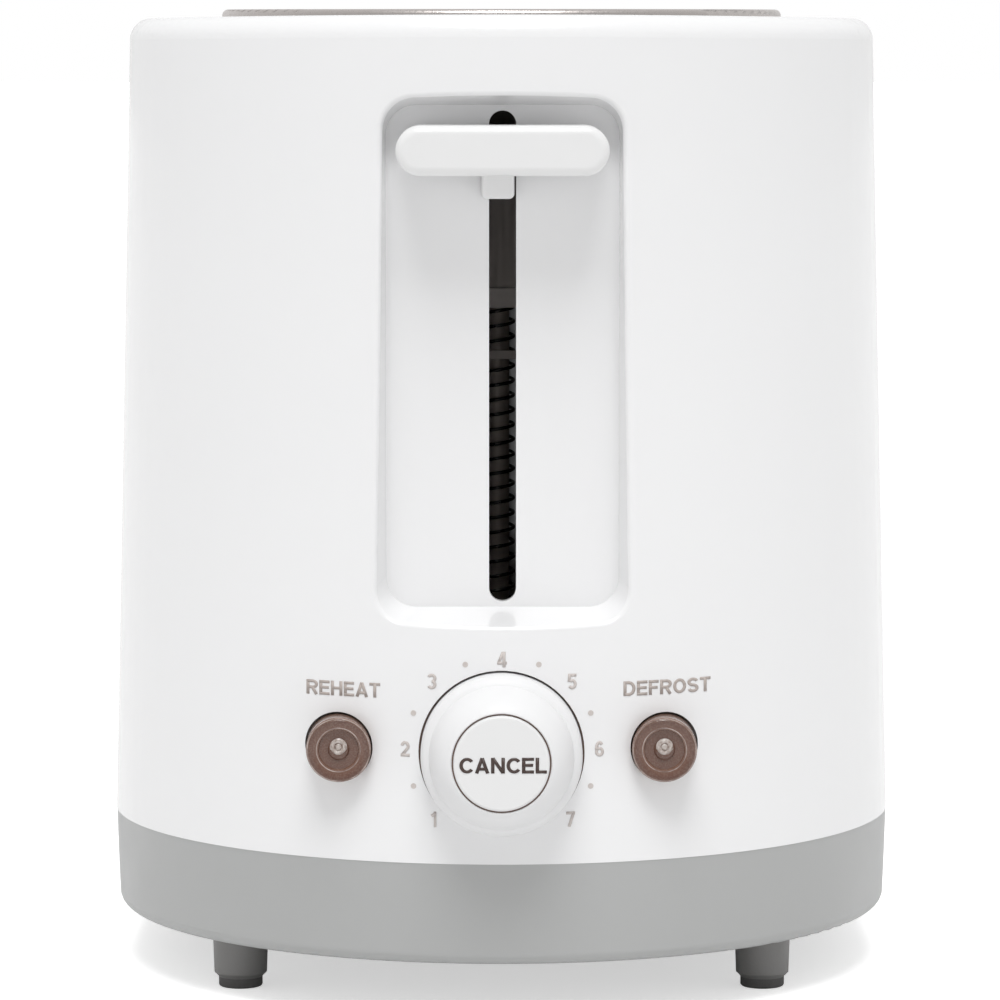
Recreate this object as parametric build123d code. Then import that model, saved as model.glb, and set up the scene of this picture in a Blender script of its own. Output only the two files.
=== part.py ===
from build123d import *
import math
import os

# Two-slice pop-up toaster. Millimetres, +Z up, front (lever and dial) towards -Y, X to the right seen
# from the front. Sizes along Y are measured from the middle of the housing; origin_shift then puts the
# origin under the middle of the whole object, on the surface that the feet stand on.

# ---- housing ----
half_straight = 59.0            # half of the straight stretch between the two round ends
seam_radius = 81.0              # round-end radius of the white shell at the seam
seam_z = 31.8                   # seam between the grey base and the white shell
crest_z = 196.8                 # highest line of the shell's crowned top
crown_radius = 3800.0
shell_draft = 1.4               # degrees, inwards going up
top_fillet = 4.5
wall = 2.5
top_wall = 3.5
end_y = half_straight + seam_radius

# ---- base, tray and feet ----
base_radius = 80.9
base_z = 11.6
base_draft = 2.0
base_fillet = 2.5
base_inner_radius = 78.4
base_floor_z = base_z + wall
lip_outer_radius = 78.1
lip_inner_radius = 76.3
lip_top_z = 34.4
tray_half_width = 45.0
tray_front_y = -64.0
tray_rear_y = 120.0
tray_z = 15.4
tray_top_z = 24.0
tray_sheet = 0.8
tray_corner = 3.0
tray_opening = (46.5, 15.2, 28.5)   # half width, low z, high z
handle_half_width = 45.8
handle_z = (16.0, 27.9)
grip_radius = 86.0
grip_half_width = 24.0
foot_x = 53.1
foot_y = 99.0
foot_radius_top = 5.65
foot_radius_low = 5.35
foot_step_z = 2.1
pad_radius = 4.45
pad_height = 2.0
peg_radius = 2.4
screw_x = 70.0
screw_y = 50.0
screw_boss_radius = 4.5
screw_radius = 1.6
screw_hole_radius = 1.9
screw_head_radius = 3.3
screw_well = (3.6, 4.4)         # radius and depth of the well that hides each screw's head
shell_boss_top_z = 58.0
tray_runner_x = (44.0, 46.3)    # ledge that the tray slides on
tray_rail_x = (46.3, 47.8)      # upright beside it that guides the tray
tray_rail_y = (-66.0, 110.0)
tray_rail_top_z = 22.0
vent_size = (17.0, 3.0)
vent_columns = (-24.0, 0.0, 24.0)
vent_rows = 11
vent_pitch = 12.0
vent_first_y = -54.0

# ---- lever recess in the front of the shell ----
recess_x = 0.2                  # the recess and its slot sit a hair right of the middle
recess_half_width = 22.8
recess_z = (80.9, 179.3)
recess_corner = 6.0
recess_floor_y = -127.0
recess_side_flare = (0.09, 0.27)    # outward lean of the sides per mm of depth, upper and lower end
recess_end_flare = (0.22, 0.23)     # the same for the upper end and the lower end
recess_mouth_fillet = 0.9
recess_wall = 2.2
slot_half_width = 2.65
slot_z = (82.0, 178.2)

# ---- dial and buttons ----
dial_z = 53.6
dial_radius = 15.75
dial_shoulder = (14.1, -145.2)      # radius and y where the skirt's round meets the dome
dial_dome = (12.95, -149.4)
dial_lip = (10.3, -152.8)
dial_rear_y = -136.2
dial_rim_y = -142.6
dial_face_y = -153.0
dial_bore_radius = 9.6
dial_well_radius = 16.2
dial_well_y = -135.5
dial_boss_radius = 18.8
dial_hub_radius = 6.6
dial_hub_y = -130.5
dial_web_y = (-145.0, -143.0)
dial_skirt_wall = 2.0
rotor_radius = 5.05
hub_hole_radius = 7.2
cancel_radius = 9.3
cancel_face_y = -153.3
cancel_back_y = -149.0
cancel_stem_radius = 2.4
cancel_stem_y = -125.6
button_x = 31.8
button_z = 54.05
button_radius = 6.35
button_face_y = -138.2
button_back_y = -125.8
button_hole_radius = 6.7
button_hole_offset = 0.1
button_guide_radius = 8.6
button_guide_y = -126.0
press = 1.5                     # how far every button goes in
switch_depth = 3.0
collar_radius = 7.6
board_y = (-119.6, -118.0)
board_half_width = 46.0
board_z = (36.0, 72.0)
board_screw_x = 42.0
board_screw_z = (40.0, 68.0)
board_screw_radius = 1.05
board_boss_radius = 3.0
led_dome_y = -130.6
led_radius = 1.5
pot_half_width = 8.5
pot_front_y = -126.0
rotor_bore_radius = 2.8
rotor_collar_radius = 5.4

# ---- toasting chamber ----
front_plate_y = -72.0
rear_plate_y = 85.0
plate_sheet = 1.0
plate_half_width = 56.0
plate_z = (33.0, 189.5)
slice_x = 25.0                  # middle of each bread slot
slice_half_width = 15.0
slice_y = (-66.0, 80.0)
slice_corner = 6.0
reflector_x = 53.0
reflector_sheet = 0.8
heater_x = (-47.0, 0.0, 47.0)
heater_names = ("left", "center", "right")
mica = 0.8
heater_z = (42.0, 180.0)
ribbon_pitch = 9.0
ribbon_height = 1.4
ribbon_sheet = 0.25
guard_offset = 14.2             # wire plane of each bread guard from the middle of its slot
guard_wire_radius = 0.9
guard_z = (40.0, 184.0)
guard_flare = 2.4
guard_pitch = 18.0
rail_x = (49.0, 59.6)
rail_z = (30.0, 33.0)
rail_screw_x = 56.6
rail_boss_radius = 5.0
rail_hole_radius = 1.5
rail_screw_y = (front_plate_y + 6, rear_plate_y - 6)

# ---- top plate ----
plate_radius = 58.0
ledge_z = 195.3
ledge_clearance = 0.3
top_opening_radius = 55.0
bead_radius = 1.3
bead_top_z = 197.9
slot_flange_depth = 6.0
plate_vent_x = 4.0
plate_vent_rows = 9
plate_vent_pitch = 16.0
plate_vent_size = (2.4, 10.0)

# ---- carriage, guide rod and lift spring ----
travel = 76.0
lever_half_width = 20.6
lever_height = 9.7
lever_z = 170.7
lever_y = (-142.5, -131.0)
neck_x = -0.7
neck_half_width = 3.2
neck_z = (161.1, 175.0)
tongue_half_width = 2.2
bracket_y = (-92.0, -90.8)
bracket_half_width = 27.0
bracket_z = (141.7, 179.6)
leg_inner_x = 19.0
leg_z = 118.0
crossbar_z = (127.3, 129.0)
bush_z = (137.8, 141.7)
rod_x = -0.9
rod_y = -82.0
rod_radius = 2.5
rod_z = (34.5, 190.0)
lug_sheet = 1.5
lower_lug_z = 33.0
upper_lug_z = 186.0
spring_radius = 3.4
spring_wire = 0.35
spring_turns = 34
spine_half_width = 0.75
spine_z = (118.0, 127.5)
rung_half_width = 7.0

# ---- holding magnet, contacts and terminals ----
magnet_x = 14.0
magnet_half_width = 8.0
magnet_pole = 2.0               # half width of the middle pole
magnet_y = (-88.0, -77.5)
magnet_z = (40.0, 43.0, 55.8)   # foot, top of the yoke, pole faces
magnet_coil_build = 3.0         # thickness of the winding round the middle pole
contact_block_x = (-23.0, -8.0)
contact_block_z = (38.0, 47.0)
contact_front_y = -88.0
contact_leaf_x = (-20.0, -12.0)
terminal_pitch = 10.0
terminal_z = (58.0, 70.0)

# ---- cord entry ----
gland_z = 46.0
gland_bore = 3.6
gland_bore_y = 141.4            # the narrow bore runs from here to the tip
gland_back_bore = 4.6
gland_flange_radius = 8.0
gland_tip_y = 147.4
gland_seat_y = 138.6

# The origin is under the middle of the whole object, from the cancel button to the cord gland.
origin_shift = (-cancel_face_y - gland_tip_y) / 2


def stadium(radius):
    """Plan outline of the housing: straight sides and two half-round ends."""
    return SlotCenterToCenter(2 * half_straight, 2 * radius, rotation=90)


def stadium_prism(radius, z0, z1):
    return extrude(Pos(0, 0, z0) * stadium(radius), z1 - z0)


def block(x0, x1, y0, y1, z0, z1):
    return Pos((x0 + x1) / 2, (y0 + y1) / 2, (z0 + z1) / 2) * Box(abs(x1 - x0), y1 - y0, z1 - z0)


def post(x, y, radius, z0, z1):
    """Upright cylinder."""
    return Pos(x, y, (z0 + z1) / 2) * Cylinder(radius, z1 - z0)


def pin_y(x, z, radius, y0, y1):
    """Cylinder along Y."""
    return Pos(x, (y0 + y1) / 2, z) * Rot(90, 0, 0) * Cylinder(radius, y1 - y0)


def front_panel(x, z, width, height, corner, y0, y1):
    """Rounded rectangle seen from the front, between two Y planes."""
    sketch = Plane.XZ.offset(-y1) * Pos(x, z) * RectangleRounded(width, height, corner)
    return extrude(sketch, y1 - y0)


def turned_y(points, x, z):
    """Solid of revolution about a Y axis at (x, z), from a closed outline of (radius, y) points."""
    outline = Polyline(*[(radius, y) for radius, y in points], close=True)
    return Pos(x, 0, z) * revolve(make_face(outline), Axis.Y)


def add_all(shapes):
    """Several solids that touch or cross, joined into one."""
    first, *rest = shapes
    for shape in rest:
        first = first + shape
    return first


def group(shapes):
    """Separate solids that share one node."""
    return Compound(children=[shape.solid() for shape in shapes])


def mirrored_x(values):
    return [sign * value for value in values for sign in (-1, 1)]


# ------------------------------------------------------------------ white shell

def shell_outside():
    body = extrude(Pos(0, 0, seam_z) * stadium(seam_radius), crest_z - seam_z, taper=shell_draft)
    crown = Pos(0, 0, crest_z - crown_radius) * Rot(90, 0, 0) * Cylinder(crown_radius, 4 * end_y)
    body = body & crown
    top = body.faces().sort_by(Axis.Z)[-1]
    return fillet(top.outer_wire().edges(), top_fillet)


def recess_outline(depth, grow):
    """Rounded trapezium that the recess has at a depth in front of its back wall."""
    upper = recess_half_width + grow + depth * recess_side_flare[0]
    lower = recess_half_width + grow + depth * recess_side_flare[1]
    top = recess_z[1] + grow + depth * recess_end_flare[0]
    bottom = recess_z[0] - grow - depth * recess_end_flare[1]
    corners = Polyline((-lower, bottom), (lower, bottom), (upper, top), (-upper, top), close=True)
    face = make_face(corners)
    return fillet(face.vertices(), recess_corner + grow)


def recess_cut(grow, floor_y):
    depth = floor_y + end_y + 10
    near = Plane.XZ.offset(-floor_y) * Pos(recess_x, 0) * recess_outline(0, grow)
    far = Plane.XZ.offset(-floor_y + depth) * Pos(recess_x, 0) * recess_outline(depth, grow)
    return loft([near, far], ruled=True)


def shell_with_recess(body):
    body = body - recess_cut(0, recess_floor_y)
    low, high = recess_z

    def at_mouth(edge):
        centre = edge.center()
        box = edge.bounding_box()
        inside_x = abs(centre.X - recess_x) < recess_half_width + 4.0
        inside_z = low - 4.0 < centre.Z < high + 4.0
        return inside_x and inside_z and box.max.Y < recess_floor_y - 1.0 and box.min.Y < -131.0

    mouth = [edge for edge in body.edges() if at_mouth(edge)]
    return fillet(mouth, recess_mouth_fillet)


def shell_inside():
    """The hollow of the shell, less the bosses and pockets that stand in it."""
    rise = crest_z - top_wall - seam_z
    hollow = extrude(Pos(0, 0, seam_z) * stadium(seam_radius - wall), rise, taper=shell_draft)
    hollow = hollow - recess_cut(recess_wall, recess_floor_y + recess_wall)
    hollow = hollow - pin_y(0, dial_z, dial_boss_radius, -end_y - 10, dial_well_y + 2.0)
    for x in mirrored_x([button_x]):
        hollow = hollow - pin_y(x, button_z, button_guide_radius, -end_y, button_guide_y)
    for x in mirrored_x([board_screw_x]):
        for z in board_screw_z:
            hollow = hollow - pin_y(x, z, board_boss_radius, -end_y, board_y[0])
    for x in (-screw_x, screw_x):
        rib_end = math.copysign(seam_radius, x)
        for y in (-screw_y, screw_y):
            hollow = hollow - post(x, y, screw_boss_radius, seam_z, shell_boss_top_z)
            hollow = hollow - block(x, rib_end, y - 1.5, y + 1.5, lip_top_z + 0.5, shell_boss_top_z)
    return hollow


def body_shell():
    shell = shell_with_recess(shell_outside()) - shell_inside()
    slot_low, slot_high = slot_z
    shell = shell - front_panel(
        recess_x, (slot_low + slot_high) / 2, 2 * slot_half_width, slot_high - slot_low,
        slot_half_width - 0.01, -130.0, -120.0)
    shell = shell - pin_y(0, dial_z, dial_well_radius, -end_y - 10, dial_well_y)
    shell = shell - pin_y(0, dial_z, hub_hole_radius, -end_y, -130.0)
    for side in (-1, 1):
        shell = shell - pin_y(
            side * (button_x + button_hole_offset), button_z + button_hole_offset,
            button_hole_radius, -end_y, -120.0)
    for x in mirrored_x([board_screw_x]):
        for z in board_screw_z:
            shell = shell - pin_y(x, z, board_screw_radius + 0.05, board_y[0] - 5.0, board_y[0] + 1.0)
    for x in (-screw_x, screw_x):
        for y in (-screw_y, screw_y):
            shell = shell - post(x, y, screw_radius, seam_z - 1, shell_boss_top_z - 6)
    shell = shell - stadium_prism(plate_radius + ledge_clearance, ledge_z, crest_z + 5)
    shell = shell - stadium_prism(top_opening_radius, ledge_z - 10, crest_z + 5)
    shell = shell - pin_y(0, gland_z, gland_flange_radius + 0.3, gland_seat_y, end_y + 10)
    shell = shell - pin_y(0, gland_z, 6.5, 120.0, end_y + 10)
    return shell


# ------------------------------------------------------------------ base, feet and tray

def base_outside():
    height = seam_z - base_z
    body = extrude(Pos(0, 0, seam_z) * stadium(base_radius), height, dir=(0, 0, -1), taper=base_draft)
    bottom = body.faces().sort_by(Axis.Z)[0]
    return fillet(bottom.outer_wire().edges(), base_fillet)


def base_band():
    """The base's outer wall alone, as a ring with no floor."""
    return base_outside() - stadium_prism(base_inner_radius, base_z - 1, seam_z + 1)


def vent_slots():
    slots = []
    for x in vent_columns:
        for row in range(vent_rows):
            slot = RectangleRounded(*vent_size, vent_size[1] / 2 - 0.05)
            slots.append(extrude(Pos(x, vent_first_y + vent_pitch * row, base_z - 1) * slot, wall + 2))
    return slots


def tray_guide(side):
    """Ledge under one edge of the tray, and the upright beside it."""
    low = base_floor_z - 0.5
    inner, outer = (side * x for x in tray_runner_x)
    ledge = block(inner, outer, tray_front_y, tray_rail_y[1], low, tray_z - 0.2)
    inner, outer = (side * x for x in tray_rail_x)
    return ledge + block(inner, outer, *tray_rail_y, low, tray_rail_top_z)


def base_housing():
    base = base_outside() - stadium_prism(base_inner_radius, base_floor_z, seam_z + 1)
    lip_root = stadium_prism(base_inner_radius + 0.1, tray_opening[2] + 0.1, seam_z)
    lip = stadium_prism(lip_outer_radius, seam_z, lip_top_z)
    base = base + ((lip_root + lip) - stadium_prism(lip_inner_radius, base_floor_z, lip_top_z + 1))
    for x in (-screw_x, screw_x):
        for y in (-screw_y, screw_y):
            base = base + post(x, y, screw_boss_radius, base_floor_z - 0.5, seam_z)
            base = base - post(x, y, screw_hole_radius, base_z - 1, seam_z + 1)
            base = base - post(x, y, screw_well[0], base_z - 1, base_z + screw_well[1])
    for side in (-1, 1):
        for y in rail_screw_y:
            base = base + post(side * rail_screw_x, y, rail_boss_radius, base_floor_z - 0.5, rail_z[0])
            base = base - post(side * rail_screw_x, y, rail_hole_radius, base_floor_z + 3, rail_z[0] + 1)
        base = base + tray_guide(side)
    half_opening, low, high = tray_opening
    base = base - block(-half_opening, half_opening, tray_rail_y[1] + 1, end_y + 5, low, high)
    for slot in vent_slots():
        base = base - slot
    for x in (-foot_x, foot_x):
        for y in (-foot_y, foot_y):
            base = base - post(x, y, peg_radius + 0.1, base_z - 1, base_floor_z + 1)
    return base


def foot(x, y):
    profile = Polyline(
        (0, 0.6), (4.45, 0.6 + pad_height - 0.6), (4.5, foot_step_z), (foot_radius_low, 2.95),
        (foot_radius_top, base_z), (peg_radius, base_z), (peg_radius, base_floor_z + 0.8),
        (0, base_floor_z + 0.8), close=True)
    face = make_face(Plane.XZ * profile)
    solid = revolve(face, Axis.Z)
    core = Cylinder(6, pad_height, align=(Align.CENTER, Align.CENTER, Align.MIN))
    return Pos(x, y, 0) * (solid - core)


def foot_pad(x, y):
    pad = Cylinder(pad_radius, pad_height, align=(Align.CENTER, Align.CENTER, Align.MIN))
    bottom = pad.edges().filter_by(GeomType.CIRCLE).sort_by(Axis.Z)[0]
    return Pos(x, y, 0) * fillet(bottom, 0.5)


def crumb_tray():
    pan = block(-tray_half_width, tray_half_width, tray_front_y, tray_rear_y, tray_z, tray_top_z)
    corners = pan.edges().filter_by(Axis.Z)
    pan = fillet(corners, tray_corner)
    inner = block(
        -tray_half_width + tray_sheet, tray_half_width - tray_sheet, tray_front_y + tray_sheet,
        tray_rear_y - tray_sheet, tray_z + tray_sheet, tray_top_z + 1)
    return pan - fillet(inner.edges().filter_by(Axis.Z), tray_corner - tray_sheet)


def tray_handle():
    low, high = handle_z
    window = block(-handle_half_width, handle_half_width, 100.0, end_y + 10, low, high)
    face = base_band() & window
    floor = block(-40.0, 40.0, tray_rear_y, end_y, low, low + 1.8) & stadium_prism(79.0, 0, 40)
    grip = stadium_prism(grip_radius, low, low + 2.6) - stadium_prism(79.5, 0, 40)
    grip = grip & block(-grip_half_width, grip_half_width, 120.0, end_y + 10, low, low + 2.6)
    grip = fillet(grip.edges().filter_by(Axis.Z).sort_by(Axis.Y)[-2:], 3.0)
    return face + floor + grip


def cord_gland():
    return turned_y(
        [(gland_back_bore, 133.0), (6.2, 133.0), (7.2, 136.5), (6.4, 136.5), (6.4, gland_seat_y),
         (gland_flange_radius, gland_seat_y), (gland_flange_radius, 141.2), (6.8, 142.2),
         (5.6, gland_tip_y - 0.6), (5.0, gland_tip_y), (gland_bore, gland_tip_y),
         (gland_bore, gland_bore_y), (gland_back_bore, gland_bore_y - 0.8)], 0, gland_z)


# ------------------------------------------------------------------ top plate and chamber

def slice_outline(x, grow):
    low, high = slice_y
    shape = RectangleRounded(2 * (slice_half_width + grow), high - low + 2 * grow, slice_corner + grow)
    return Pos(x, (low + high) / 2) * shape


def top_plate():
    plate = stadium_prism(plate_radius, ledge_z, ledge_z + plate_sheet)
    bead = stadium_prism(plate_radius, ledge_z, bead_top_z)
    bead = bead - stadium_prism(plate_radius - 2 * bead_radius, ledge_z - 1, bead_top_z + 1)
    rim = bead.faces().sort_by(Axis.Z)[-1].edges()
    plate = plate + fillet(rim, bead_radius - 0.05)
    for x in (-slice_x, slice_x):
        bottom = ledge_z - slot_flange_depth
        flange = extrude(Pos(0, 0, bottom) * slice_outline(x, 1.0), slot_flange_depth + 0.5)
        plate = plate + flange
        hole = extrude(Pos(0, 0, bottom - 1) * slice_outline(x, 0), slot_flange_depth + 5)
        plate = plate - hole
        around = [
            edge for edge in plate.edges()
            if abs(edge.center().Z - ledge_z - plate_sheet) < 0.01
            and abs(edge.center().X - x) < slice_half_width + 0.5]
        plate = fillet(around, 0.9)
    for x in mirrored_x([plate_vent_x]):
        for row in range(plate_vent_rows):
            y = slice_y[0] + 9.0 + plate_vent_pitch * row
            vent = Pos(x, y, ledge_z - 1) * RectangleRounded(*plate_vent_size, plate_vent_size[0] / 2 - 0.05)
            plate = plate - extrude(vent, 4)
    return plate


def end_plate(y):
    low, high = plate_z
    sheet = block(-plate_half_width, plate_half_width, y, y + plate_sheet, low, high)
    sheet = fillet(sheet.edges().filter_by(Axis.Y), 4.0)
    for x in (-slice_x, slice_x):
        sheet = sheet - block(x - 1.6, x + 1.6, y - 1, y + 2, 38.0, 131.0)
        for z in (150.0, 165.0):
            sheet = sheet - pin_y(x, z, 3.5, y - 1, y + 2)
    return sheet


def front_end_plate():
    """End plate with two lugs bent forwards, which hold the guide rod."""
    y = front_plate_y
    plate = end_plate(y)
    for z in (lower_lug_z, upper_lug_z):
        lug = block(rod_x - 7, rod_x + 7, rod_y - 6, y + 0.5, z, z + lug_sheet)
        plate = plate + fillet(lug.edges().filter_by(Axis.Z).sort_by(Axis.Y)[:2], 3.0)
    return plate - post(rod_x, rod_y, rod_radius, lower_lug_z + lug_sheet, upper_lug_z + 3)


def side_reflector(side):
    """Bright sheet beside the chamber, with ribs pressed into it."""
    outer = side * reflector_x
    inner = outer - side * reflector_sheet
    sheet = block(
        inner, outer, front_plate_y + plate_sheet, rear_plate_y, plate_z[0], plate_z[1] - 3)
    for row in range(4):
        z = 58.0 + 34.0 * row
        rib = block(inner - side * 0.8, outer - side * 0.2, -58.0, 72.0, z, z + 5.0)
        sheet = sheet + rib
    return sheet


def heater_board(x):
    low, high = heater_z
    board = block(x - mica / 2, x + mica / 2, front_plate_y + plate_sheet, rear_plate_y, low, high)
    for row in range(int((high - low - 12) / ribbon_pitch) + 1):
        z = low + 6 + ribbon_pitch * row
        for y in (-63.0, 77.0):
            notch = block(x - 1, x + 1, y - 3, y + 3, z + 3.2, z + 5.4)
            board = board - notch
    return board


def heater_winding(x):
    """Ribbon turns round the mica board, one ring for each pass."""
    low, high = heater_z
    half = mica / 2
    turns = []
    for row in range(int((high - low - 12) / ribbon_pitch)):
        z = low + 6 + ribbon_pitch * row + 3.2
        outer = block(
            x - half - ribbon_sheet, x + half + ribbon_sheet, -66.0, 80.0, z, z + ribbon_height)
        inner = block(x - half, x + half, -65.9, 79.9, z - 1, z + 3)
        ends = block(x - half, x + half, -66.1, -60.0, z - 1, z + 3)
        ends = ends + block(x - half, x + half, 74.0, 80.1, z - 1, z + 3)
        faces = outer - inner - ends
        turns.extend(faces.solids())
    return Compound(children=turns)


def wire_run(points, bend):
    """Round wire along straight runs with bends."""
    path = FilletPolyline(*points, radius=bend)
    start = path.edges()[0]
    profile = Plane(start @ 0, z_dir=start % 0) * Circle(guard_wire_radius)
    return sweep(profile, path=path)


def bread_guard(slot_x, side):
    """Upright wires that keep the slice off the elements, tops flared away from it."""
    low, high = guard_z
    x = slot_x + side * guard_offset
    wires = []
    count = 9
    for index in range(count):
        y = sum(slice_y) / 2 + (index - (count - 1) / 2) * guard_pitch
        wires.append(wire_run([(x, y, low), (x, y, high - 9), (x + side * guard_flare, y, high)], 6.0))
    back = x + side * 2 * (guard_wire_radius - 0.2)
    y0 = front_plate_y + plate_sheet
    for z in (low + 4, (low + high) / 2, high - 16):
        wires.append(pin_y(back, z, guard_wire_radius, y0, rear_plate_y))
    return add_all(wires)


def chassis_rail(side):
    low, high = rail_z
    x0, x1 = side * rail_x[0], side * rail_x[1]
    rail = block(x0, x1, front_plate_y - 4, rear_plate_y + 5, low, high)
    for y in rail_screw_y:
        rail = rail - post(side * rail_screw_x, y, 1.6, low - 1, high + 1)
    return rail


# ------------------------------------------------------------------ carriage

def lever_knob():
    y0, y1 = lever_y
    bar = front_panel(
        recess_x, lever_z, 2 * lever_half_width, lever_height, lever_height / 2 - 0.01, y0, y1)
    front = bar.faces().sort_by(Axis.Y)[0]
    back = bar.faces().sort_by(Axis.Y)[-1]
    bar = fillet(front.edges(), 1.8)
    return fillet(bar.faces().sort_by(Axis.Y)[-1].edges(), 0.8)


def lever_neck():
    """Moulded shoe in front of the slot, with a tongue that runs back to the carriage."""
    low, high = neck_z
    shoe = front_panel(
        neck_x, (low + high) / 2, 2 * neck_half_width, high - low, 1.1, lever_y[1], recess_floor_y - 0.6)
    shoe = fillet(shoe.faces().sort_by(Axis.Y)[0].edges(), 0.6)
    tongue = block(
        recess_x - tongue_half_width, recess_x + tongue_half_width, recess_floor_y - 1.5, bracket_y[0],
        low + 2, high - 1)
    return shoe + tongue


def carriage_bracket():
    y0, y1 = bracket_y
    low, high = bracket_z
    plate = block(-bracket_half_width, bracket_half_width, y0, y1, low, high)
    for side in (-1, 1):
        plate = plate + block(side * leg_inner_x, side * bracket_half_width, y0, y1, leg_z, low)
    plate = plate + block(-leg_inner_x, leg_inner_x, y0, y1, *crossbar_z)
    plate = plate + block(-9.0, 9.0, y0, -76.0, high - 1.2, high)
    return plate - post(rod_x, rod_y, rod_radius + 0.25, high - 3, high + 1)


def carriage_bush():
    bush = block(-9.0, 9.0, bracket_y[0] - 1.0, -76.0, *bush_z)
    bush = fillet(bush.edges().filter_by(Axis.Z), 1.5)
    return bush - post(rod_x, rod_y, rod_radius + 0.08, bush_z[0] - 1, bush_z[1] + 1)


def armature_plate():
    """Iron keeper under the bracket's right side, which the magnet holds when the lever is down."""
    low = magnet_z[2] + travel + 0.2
    x0, x1 = magnet_x - 4.5, magnet_x + 4.5
    hanger = block(x0 + 1.5, x1 - 0.5, bracket_y[1], bracket_y[1] + 1.2, low, low + 14)
    return hanger + block(x0, x1, bracket_y[1], magnet_y[1] + 0.5, low, low + 2.2)


def bread_rack(x):
    low, high = spine_z
    spine = block(x - spine_half_width, x + spine_half_width, bracket_y[1], rear_plate_y + 6, low, high)
    rungs = []
    for index in range(9):
        y = sum(slice_y) / 2 + (index - 4) * guard_pitch - guard_pitch / 2 + 9.0
        rung = block(x - rung_half_width, x + rung_half_width, y - 1.5, y + 1.5, high - 1.2, high + 0.3)
        rungs.append(fillet(rung.edges().filter_by(Axis.Z), 1.2))
    return add_all([spine, *rungs])


def guide_rod():
    rod = post(rod_x, rod_y, rod_radius, *rod_z)
    return chamfer(rod.edges().filter_by(GeomType.CIRCLE), 0.5)


def lift_spring():
    low = lower_lug_z + lug_sheet + spring_wire
    high = bush_z[0] - spring_wire
    path = Helix((high - low) / spring_turns, high - low, spring_radius)
    profile = Plane(path @ 0, z_dir=path % 0) * Circle(spring_wire)
    return Pos(rod_x, rod_y, low) * sweep(profile, path=path, is_frenet=True)


def stop_bumper():
    low, high = bracket_z[1], upper_lug_z
    return post(rod_x, rod_y, 5.0, low, high) - post(rod_x, rod_y, rod_radius, low - 1, high + 1)


# ------------------------------------------------------------------ dial and buttons

def browning_dial():
    """Domed ring with a hub, turned about Y. Its front is hollow for the cancel button."""
    skirt = (dial_radius - dial_skirt_wall, dial_rear_y)
    web = cancel_stem_radius + 0.4
    inside = [
        (dial_bore_radius + 0.2, dial_face_y), (dial_bore_radius, dial_face_y + 0.3),
        (dial_bore_radius, dial_web_y[0]), (web, dial_web_y[0]), (web, dial_web_y[1]),
        (rotor_radius, dial_web_y[1]), (rotor_radius, dial_hub_y), (dial_hub_radius, dial_hub_y),
        (dial_hub_radius, dial_rim_y + 1.6), (skirt[0], dial_rim_y + 1.6), skirt,
        (dial_radius, dial_rear_y), (dial_radius, dial_rim_y)]
    shoulder_middle = (dial_radius - 0.42, dial_rim_y - 1.55)
    outline = ThreePointArc((dial_radius, dial_rim_y), shoulder_middle, dial_shoulder)
    outline += ThreePointArc(dial_shoulder, dial_dome, dial_lip)
    outline += Polyline(dial_lip, *inside)
    return Pos(0, 0, dial_z) * revolve(make_face(outline), Axis.Y)


def cancel_button():
    cap = turned_y(
        [(0, cancel_face_y), (cancel_radius - 0.45, cancel_face_y + 0.03),
         (cancel_radius - 0.15, cancel_face_y + 0.18), (cancel_radius, cancel_face_y + 0.5),
         (cancel_radius, cancel_back_y),
         (cancel_stem_radius, cancel_back_y), (cancel_stem_radius, cancel_stem_y), (0, cancel_stem_y)],
        0, dial_z)
    return cap


def button_outline():
    """Lens cap: round rim, sunk disc with a small boss in it, hollow back, and a collar that stops it."""
    face = button_face_y
    boss = [
        (0, face + 0.35), (0.7, face + 0.35), (0.9, face + 0.25), (1.4, face + 0.25), (1.8, face + 0.5),
        (2.1, face + 0.9)]
    rim = [
        (3.8, face + 0.9), (4.0, face + 0.35), (4.4, face + 0.25), (5.3, face + 0.05), (5.8, face),
        (6.15, face + 0.2), (button_radius, face + 0.6)]
    back = button_back_y
    skirt = [
        (button_radius, back), (collar_radius, back), (collar_radius, back + 1.0), (4.6, back + 1.0),
        (4.6, face + 2.6), (0, face + 2.4)]
    return boss + rim + skirt


def lens_button(side):
    x = side * button_x
    cap = turned_y(button_outline(), x, button_z)
    tab = block(
        x - 2.0, x + 2.0, button_back_y, button_back_y + 1.0, button_z - 13.0, button_z - collar_radius + 0.6)
    return cap + tab


def button_spring(side):
    low, high = button_back_y + 1.0, board_y[0]
    wire = 0.25
    rise = high - low - 2 * wire
    path = Helix(rise / 5, rise, 5.6)
    profile = Plane(path @ 0, z_dir=path % 0) * Circle(wire)
    coil = sweep(profile, path=path, is_frenet=True)
    return Pos(side * button_x, high - wire, button_z) * Rot(90, 0, 0) * coil


def cancel_spring():
    """Sits round the stem between the cap and the dial's web."""
    low, high = cancel_back_y, dial_web_y[0]
    wire = 0.25
    rise = high - low - 2 * wire
    path = Helix(rise / 3, rise, 4.2)
    profile = Plane(path @ 0, z_dir=path % 0) * Circle(wire)
    coil = sweep(profile, path=path, is_frenet=True)
    return Pos(0, high - wire, dial_z) * Rot(90, 0, 0) * coil


def push_switch(x, z, button_end_y):
    """Board-mounted push switch, which its button reaches at the end of the press."""
    base_y = board_y[0] - switch_depth
    tip_y = button_end_y + press + 0.1
    body = block(x - 3, x + 3, base_y, board_y[0], z - 3, z + 3)
    return body + pin_y(x, z, 1.7, tip_y, base_y)


def led(side):
    x = side * button_x
    dome = Pos(x, led_dome_y, button_z) * Sphere(led_radius)
    lamp = dome + pin_y(x, button_z, led_radius, led_dome_y, board_y[0])
    return lamp + pin_y(x, button_z, led_radius + 0.4, led_dome_y + 3, led_dome_y + 4)


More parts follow.
